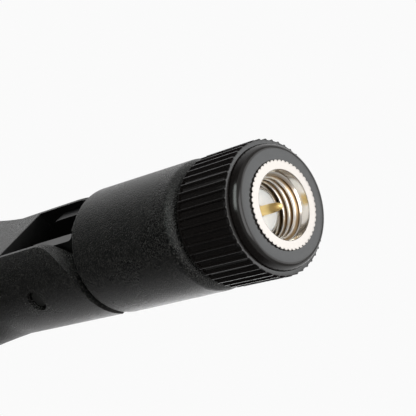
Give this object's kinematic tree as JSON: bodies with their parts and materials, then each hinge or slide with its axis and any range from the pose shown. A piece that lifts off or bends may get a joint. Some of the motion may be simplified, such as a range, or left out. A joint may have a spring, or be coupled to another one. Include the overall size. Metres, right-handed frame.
{
  "type": "omnidirectional antenna",
  "caption": "Omnidirectional antenna: SMA plug with a turning ribbed hand nut, a round barrel and a flat blade mast that folds on a fork hinge.",
  "frame": {"origin": "on the connector's axis, at the coupling nut's front face", "axes": "+Z along the upright mast, away from the connector; +X to the side that the mast folds to; the hinge lies along Y"},
  "size_m": [0.013, 0.022, 0.196],
  "materials": {
    "nickel_plate": "bright nickel plating on turned brass",
    "gold_plate": "gold plating on turned brass",
    "spring_steel": "bright",
    "silvered_copper": "tinned wire",
    "bare_copper": "etched copper track",
    "solder": "satin",
    "ptfe": "waxy white",
    "silicone_seal": "matte",
    "gloss_black_nylon": "moulded, semi-gloss",
    "textured_black_nylon": "moulded with a fine spark-eroded grain",
    "coax_jacket": "smooth",
    "glass_epoxy_laminate": "solder mask",
    "foam": "open cell",
    "hot_melt_glue": "translucent"
  },
  "bodies": {
    "base": {"connector_shell": "nickel_plate", "dielectric": "ptfe", "centre_pin": "gold_plate", "mouth_gasket": "silicone_seal", "snap_ring": "spring_steel", "crimp_ferrule": "nickel_plate", "barrel": "textured_black_nylon", "coax_tail_core": "silvered_copper", "coax_tail_dielectric": "ptfe", "coax_tail_braid": "silvered_copper", "coax_in_barrel": "coax_jacket", "coax_hinge": "coax_jacket"},
    "nut": {"coupling_nut": "nickel_plate", "nut_collar": "gloss_black_nylon"},
    "mast": {"fork_knuckle": "textured_black_nylon", "blade_sleeve": "textured_black_nylon", "pivot_pin_near": "spring_steel", "pivot_pin_far": "spring_steel", "antenna_board": "glass_epoxy_laminate", "upper_element": "bare_copper", "lower_element": "bare_copper", "back_element": "bare_copper", "braid_solder": "solder", "core_solder": "solder", "coax_in_mast": "coax_jacket", "coax_braid": "silvered_copper", "coax_dielectric": "ptfe", "coax_core": "silvered_copper", "foam_pad": "foam", "coax_glue": "hot_melt_glue"}
  },
  "joints": [
    {"name": "nut_spin", "type": "hinge", "parent": "base", "child": "nut", "pos_m": [0, 0, 0], "axis": [0, 0, 1], "continuous": true},
    {"name": "tilt", "type": "hinge", "parent": "base", "child": "mast", "pos_m": [0, 0, 0.0316], "axis": [0, 1, 0], "range_deg": [0, 90], "deforming": ["coax_hinge"]}
  ]
}
